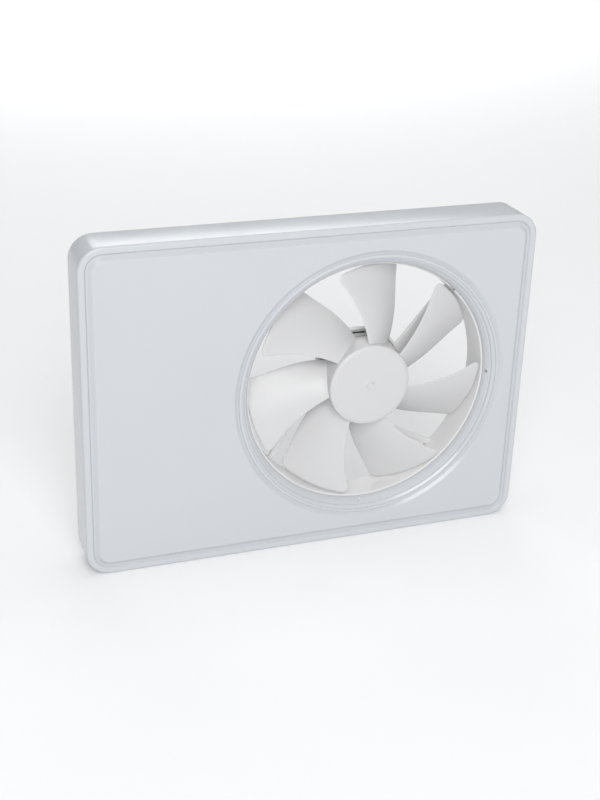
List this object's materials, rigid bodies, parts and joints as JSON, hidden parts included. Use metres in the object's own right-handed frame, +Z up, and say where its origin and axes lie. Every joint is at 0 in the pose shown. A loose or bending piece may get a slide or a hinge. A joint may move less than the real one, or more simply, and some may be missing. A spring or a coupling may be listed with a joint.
{
  "type": "bathroom extractor fan",
  "caption": "Slim wall-mounted extractor fan: flat glossy case, round flared inlet, bladed rotor on an outer-rotor motor, control electronics behind the blank panel.",
  "frame": {"origin": "middle of the bottom edge: centre of the case's width and depth, at its lowest face", "axes": "+X to the right seen from the front, -Y out of the front, +Z up"},
  "size_m": [0.291, 0.029, 0.213],
  "materials": {
    "cover_gloss": "glossy cool white",
    "base_plastic": "matt white",
    "frame_plastic": "satin warm white",
    "rotor_plastic": "satin warm white",
    "zinc_steel": "zinc plated",
    "stator_steel": "stacked laminations",
    "ferrite": "plastic-bonded ferrite",
    "brass": "turned",
    "copper_wire": "enamelled copper wire",
    "circuit_board": "green solder mask",
    "dark_plastic": "moulded black",
    "sleeve_blue": "shrink sleeve",
    "tape_yellow": "wound tape",
    "connector_cream": "natural nylon",
    "rubber": "matt",
    "lead_sleeve": "flexible sleeve",
    "led_lens": "diffused lens"
  },
  "bodies": {
    "housing": {"base_plate": "base_plastic", "fan_frame": "frame_plastic", "rear_bearing": "zinc_steel", "front_bearing": "zinc_steel", "bearing_tube": "brass", "stator_core": "stator_steel", "motor_board": "circuit_board", "hall_sensor": "dark_plastic", "motor_lead": "lead_sleeve", "control_board": "circuit_board", "transformer": "tape_yellow", "bulk_capacitor": "sleeve_blue", "output_capacitor": "dark_plastic", "fuse": "connector_cream", "varistor": "sleeve_blue", "microcontroller": "dark_plastic", "motor_connector": "connector_cream", "ribbon_header": "connector_cream", "humidity_sensor": "connector_cream", "electronics_lid": "frame_plastic", "touch_board": "circuit_board", "touch_ribbon": "connector_cream", "status_led": "led_lens", "terminal_block": "connector_cream", "cord_clamp": "frame_plastic", "cable_grommet": "rubber", "stator_coil_1": "copper_wire", "stator_coil_2": "copper_wire", "stator_coil_3": "copper_wire", "stator_coil_4": "copper_wire", "stator_coil_5": "copper_wire", "stator_coil_6": "copper_wire", "cover_bush_1": "rubber", "cover_bush_2": "rubber", "cover_bush_3": "rubber", "cover_bush_4": "rubber", "touch_pad_1": "dark_plastic", "touch_pad_2": "dark_plastic", "touch_pad_3": "dark_plastic", "terminal_screw_1": "zinc_steel", "terminal_screw_2": "zinc_steel", "terminal_screw_3": "zinc_steel", "board_screw_1": "zinc_steel", "board_screw_2": "zinc_steel", "board_screw_3": "zinc_steel", "board_screw_4": "zinc_steel", "frame_screw_1": "zinc_steel", "frame_screw_2": "zinc_steel", "frame_screw_3": "zinc_steel", "frame_screw_4": "zinc_steel", "lid_screw_1": "zinc_steel", "lid_screw_2": "zinc_steel", "clamp_screw_1": "zinc_steel", "clamp_screw_2": "zinc_steel"},
    "rotor": {"impeller": "rotor_plastic", "rotor_yoke": "zinc_steel", "magnet_ring": "ferrite", "rotor_shaft": "zinc_steel", "retaining_ring": "zinc_steel"},
    "cover": {"front_cover": "cover_gloss"}
  },
  "joints": [
    {"name": "rotor_spin", "type": "hinge", "parent": "housing", "child": "rotor", "pos_m": [0.039, 0, 0.1065], "axis": [0, -1, 0], "continuous": true},
    {"name": "cover_pull", "type": "slide", "parent": "housing", "child": "cover", "axis": [0, -1, 0], "range_m": [0, 0.06]}
  ]
}
